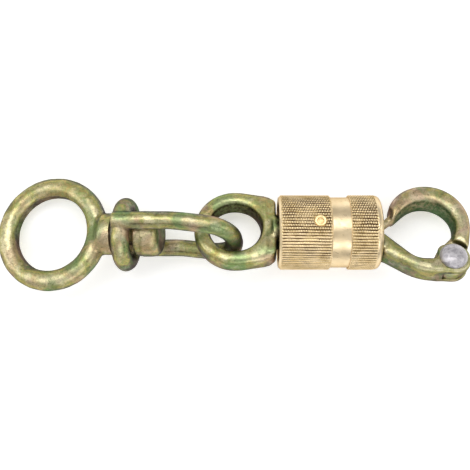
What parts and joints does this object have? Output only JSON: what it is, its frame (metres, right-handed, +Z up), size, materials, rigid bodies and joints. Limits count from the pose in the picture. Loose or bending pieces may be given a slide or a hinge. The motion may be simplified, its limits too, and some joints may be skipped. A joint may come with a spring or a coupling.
{
  "type": "swivel snap hook with ring",
  "caption": "Swivel link: a large ring turns on one end, and a quick-release snap hook with a sliding knurled collar turns on the other.",
  "frame": {"origin": "centre of the bounding box in plan, on the surface the part lies on", "axes": "+X from the big ring to the hook, along the barrel; +Z up from the surface the part lies on"},
  "size_m": [0.1812, 0.0436, 0.0333],
  "materials": {
    "grip_brass": "turned brass, dulled by handling",
    "collar_brass": "turned brass, dulled by handling",
    "pin_brass": "turned brass, dulled by handling",
    "hook_steel": "forged steel, zinc plated and yellow passivated, mottled sheen",
    "jaw_steel": "forged steel, zinc plated and yellow passivated, mottled sheen",
    "rivet_steel": "bare steel, pressed and worn",
    "eye_steel": "forged steel, zinc plated and yellow passivated, mottled sheen",
    "bush_brass": "turned brass, dulled by handling",
    "washer_steel": "plain steel, lightly oiled",
    "bow_steel": "forged steel, zinc plated and yellow passivated, mottled sheen",
    "ring_steel": "forged steel, zinc plated and yellow passivated, mottled sheen",
    "spring_steel": "plain steel, lightly oiled",
    "seat_steel": "plain steel, lightly oiled"
  },
  "bodies": {
    "hook": {"hook_body": "hook_steel", "barrel_body": "grip_brass", "barrel_pin": "pin_brass", "jaw_rivet": "rivet_steel", "swivel_bush": "bush_brass", "spring_seat": "seat_steel", "return_spring": "spring_steel"},
    "collar": {"release_collar": "collar_brass"},
    "jaw": {"movable_jaw": "jaw_steel"},
    "eye": {"swivel_eye": "eye_steel", "thrust_washer": "washer_steel"},
    "bow": {"swivel_bow": "bow_steel"},
    "ring": {"ring_eye": "ring_steel"}
  },
  "joints": [
    {"name": "jaw_hinge", "type": "hinge", "parent": "hook", "child": "jaw", "pos_m": [0.08179, -0.01057, 0.02065], "axis": [0, -0.5, -0.866], "range_deg": [0, 90], "stiffness_Nm_per_rad": 0.012, "springref_deg": -137.51},
    {"name": "collar_slide", "type": "slide", "parent": "hook", "child": "collar", "axis": [-1, 0, 0], "range_m": [0, 0.0065], "deforming": ["return_spring"]},
    {"name": "eye_swivel", "type": "hinge", "parent": "hook", "child": "eye", "pos_m": [0.02, 0.0006, 0.0142], "axis": [1, 0, 0], "continuous": true},
    {"name": "bow_swing", "type": "hinge", "parent": "eye", "child": "bow", "pos_m": [-0.01101, -0.0002, 0.0186], "axis": [-0.0515, -0.9063, 0.4195], "range_deg": [-95, 95]},
    {"name": "ring_swivel", "type": "hinge", "parent": "bow", "child": "ring", "pos_m": [-0.06861, 0, 0.00997], "axis": [0.9869, -0.0013, 0.1616], "continuous": true}
  ],
  "couplings": [
    {"joint": "collar_slide", "follows": "jaw_hinge", "m_per_rad": 0.004138}
  ]
}
